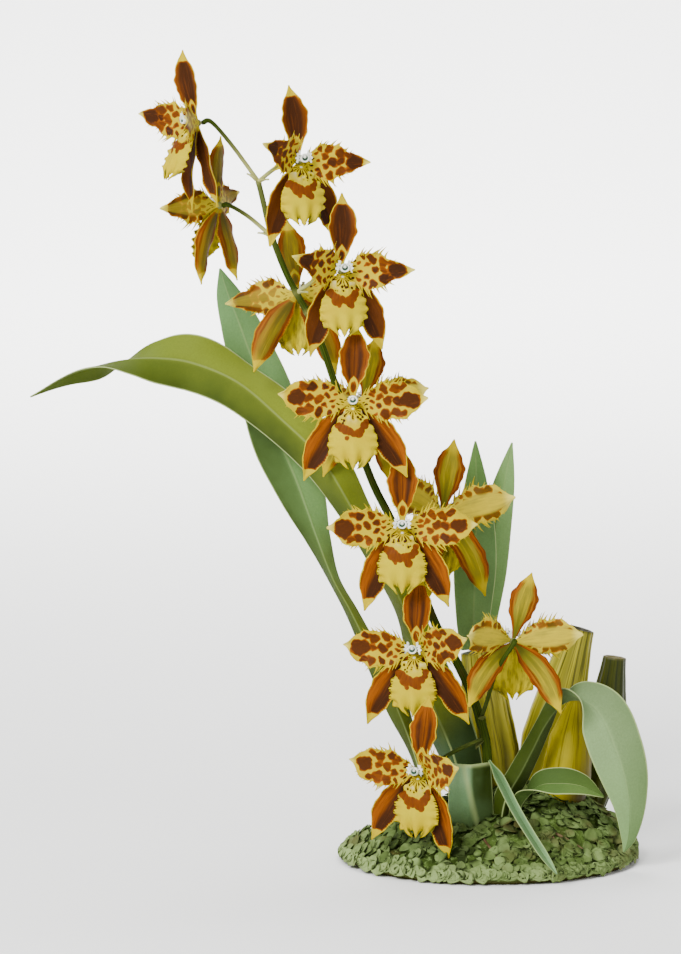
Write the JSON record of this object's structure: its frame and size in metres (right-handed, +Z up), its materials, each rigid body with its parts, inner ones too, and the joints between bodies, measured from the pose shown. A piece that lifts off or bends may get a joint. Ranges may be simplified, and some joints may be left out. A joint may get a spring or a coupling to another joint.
{
  "type": "oncidium orchid",
  "caption": "Oncidium orchid in flower: an arching spike of spotted blooms, strap leaves and pseudobulbs on a clump of moss and roots that rests on a flat underside.",
  "frame": {"origin": "centre of the clump's flat underside", "axes": "+Z up; +X to the right as seen from the front; +Y away from the viewer"},
  "size_m": [0.3402, 0.1515, 0.4487],
  "materials": {
    "moss": "matte",
    "root": "matte",
    "bulb_striped": "satin",
    "bulb_old": "satin",
    "bulb_yellow": "satin",
    "leaf_green": "satin",
    "leaf_blue_green": "satin",
    "sheath_green": "satin",
    "stem_green": "satin",
    "sepals_petals": "satin",
    "lip": "satin",
    "column": "satin"
  },
  "bodies": {
    "root": {"moss_clump": "moss", "rhizome": "root", "pseudobulb_leafy": "bulb_striped", "pseudobulb_cut": "bulb_striped", "pseudobulb_old": "bulb_old", "pseudobulb_smooth": "bulb_yellow", "growth_young": "sheath_green", "leaf_long": "leaf_green", "leaf_upright_back": "leaf_blue_green", "leaf_bulb_left": "leaf_green", "leaf_bulb_right": "leaf_green", "leaf_drooping": "leaf_blue_green", "leaf_short": "leaf_blue_green", "leaf_narrow_front": "leaf_blue_green", "sheath_front": "sheath_green", "flower_spike": "stem_green", "bloom_01_sepals_petals": "sepals_petals", "bloom_01_lip": "lip", "bloom_01_column": "column", "bloom_02_sepals_petals": "sepals_petals", "bloom_02_lip": "lip", "bloom_02_column": "column", "bloom_03_sepals_petals": "sepals_petals", "bloom_03_lip": "lip", "bloom_03_column": "column", "bloom_04_sepals_petals": "sepals_petals", "bloom_04_lip": "lip", "bloom_04_column": "column", "bloom_05_sepals_petals": "sepals_petals", "bloom_05_lip": "lip", "bloom_05_column": "column", "bloom_06_sepals_petals": "sepals_petals", "bloom_06_lip": "lip", "bloom_06_column": "column", "bloom_07_sepals_petals": "sepals_petals", "bloom_07_lip": "lip", "bloom_07_column": "column", "bloom_08_sepals_petals": "sepals_petals", "bloom_08_lip": "lip", "bloom_08_column": "column", "bloom_09_sepals_petals": "sepals_petals", "bloom_09_lip": "lip", "bloom_09_column": "column", "bloom_10_sepals_petals": "sepals_petals", "bloom_10_lip": "lip", "bloom_10_column": "column", "bloom_11_sepals_petals": "sepals_petals", "bloom_11_lip": "lip", "bloom_11_column": "column", "bloom_12_sepals_petals": "sepals_petals", "bloom_12_lip": "lip", "bloom_12_column": "column"}
  },
  "joints": []
}
